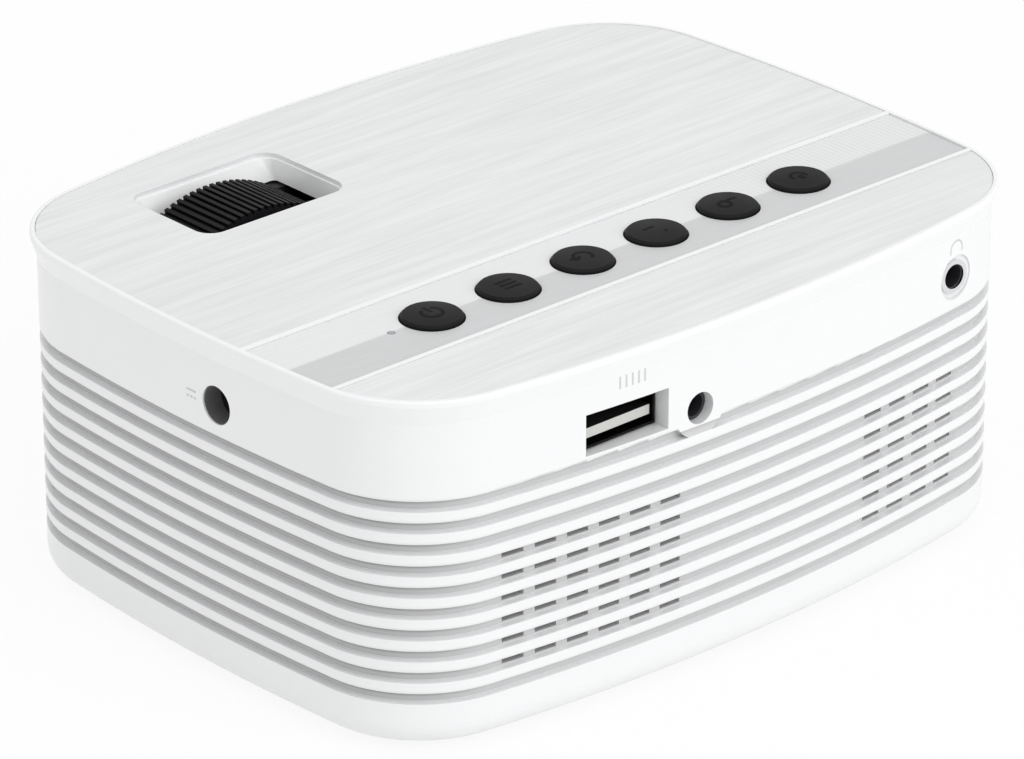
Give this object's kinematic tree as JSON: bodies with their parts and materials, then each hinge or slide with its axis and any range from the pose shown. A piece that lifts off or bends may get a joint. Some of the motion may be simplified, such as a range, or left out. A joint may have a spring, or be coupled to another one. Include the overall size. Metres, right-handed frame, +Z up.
{
  "type": "pocket projector",
  "caption": "Small white table-top projector with a ribbed case, round black keys, a focus wheel in a top window, rear sockets and vents.",
  "frame": {"origin": "on the table, under the middle of the case and its lens hood", "axes": "+X along the length towards the lens end and power inlet, -Y out of the lens, +Z up"},
  "size_m": [0.1278, 0.1005, 0.0554],
  "materials": {
    "case_white": "gloss",
    "cap_white": "gloss",
    "plate": "fine streaked film",
    "strip": "satin",
    "key_black": "gloss",
    "inner_white": "matt",
    "black_plastic": "matt",
    "ring_black": "satin",
    "feet": "matt",
    "screw": "satin",
    "socket_steel": "satin",
    "contact_brass": "polished",
    "board_green": "lacquer",
    "chip_black": "matt",
    "capacitor": "sleeved",
    "lens_glass": "coated",
    "pane_glass": "clear",
    "sink_metal": "extruded",
    "led": "phosphor",
    "light_guide": "clear",
    "cone_paper": "paper",
    "magnet": "dark",
    "reflector": "white"
  },
  "bodies": {
    "case": {"top_cover": "cap_white", "front_plate": "plate", "rear_plate": "plate", "button_strip": "strip", "body_shell": "case_white", "base_cover": "case_white", "rubber_feet": "feet", "base_screws": "screw", "cap_screws": "screw", "board_screws": "screw", "switch_bodies": "chip_black", "key_board": "board_green", "status_led": "led", "light_pipe": "light_guide", "lens_mount": "inner_white", "lens_hood": "black_plastic", "engine_housing": "black_plastic", "front_fresnel": "pane_glass", "lcd_panel": "pane_glass", "rear_fresnel": "pane_glass", "heat_glass": "pane_glass", "light_cone": "reflector", "led_board": "sink_metal", "led_chip": "led", "heat_sink": "sink_metal", "fan_frame": "black_plastic", "main_board": "board_green", "main_chips": "chip_black", "capacitors": "capacitor", "usb_shell": "socket_steel", "usb_insulator": "inner_white", "av_jack": "chip_black", "headphone_jack": "chip_black", "headphone_ring": "socket_steel", "dc_jack": "chip_black", "dc_pin": "contact_brass", "dc_board": "board_green", "speaker_frame": "black_plastic", "speaker_magnet": "magnet", "speaker_cone": "cone_paper"},
    "ring": {"focus_ring": "ring_black"},
    "barrel": {"lens_barrel": "black_plastic", "front_lens": "lens_glass", "rear_lens": "lens_glass", "lens_retainer": "black_plastic"},
    "rotor": {"fan_rotor": "black_plastic"},
    "power_key": {"key_power": "key_black", "switch_stem_power": "inner_white"},
    "menu_key": {"key_menu": "key_black", "switch_stem_menu": "inner_white"},
    "back_key": {"key_back": "key_black", "switch_stem_back": "inner_white"},
    "enter_key": {"key_enter": "key_black", "switch_stem_enter": "inner_white"},
    "minus_key": {"key_minus": "key_black", "switch_stem_minus": "inner_white"},
    "plus_key": {"key_plus": "key_black", "switch_stem_plus": "inner_white"}
  },
  "joints": [
    {"name": "focus_turn", "type": "hinge", "parent": "case", "child": "ring", "pos_m": [0.0303, -0.0281, 0.0335], "axis": [0, -1, 0], "range_deg": [-90, 90]},
    {"name": "focus_slide", "type": "slide", "parent": "case", "child": "barrel", "axis": [0, -1, 0], "range_m": [-0.0021, 0.0021]},
    {"name": "fan_spin", "type": "hinge", "parent": "case", "child": "rotor", "pos_m": [0.0282, 0.0377, 0.02033], "axis": [0, -1, 0], "continuous": true},
    {"name": "power_press", "type": "slide", "parent": "case", "child": "power_key", "axis": [0, 0, 1], "range_m": [-0.00035, 0], "stiffness_N_per_m": 600},
    {"name": "menu_press", "type": "slide", "parent": "case", "child": "menu_key", "axis": [0, 0, 1], "range_m": [-0.00035, 0], "stiffness_N_per_m": 600},
    {"name": "back_press", "type": "slide", "parent": "case", "child": "back_key", "axis": [0, 0, 1], "range_m": [-0.00035, 0], "stiffness_N_per_m": 600},
    {"name": "enter_press", "type": "slide", "parent": "case", "child": "enter_key", "axis": [0, 0, 1], "range_m": [-0.00035, 0], "stiffness_N_per_m": 600},
    {"name": "minus_press", "type": "slide", "parent": "case", "child": "minus_key", "axis": [0, 0, 1], "range_m": [-0.00035, 0], "stiffness_N_per_m": 600},
    {"name": "plus_press", "type": "slide", "parent": "case", "child": "plus_key", "axis": [0, 0, 1], "range_m": [-0.00035, 0], "stiffness_N_per_m": 600}
  ],
  "couplings": [
    {"joint": "focus_slide", "follows": "focus_turn", "m_per_rad": 0.0012732}
  ]
}
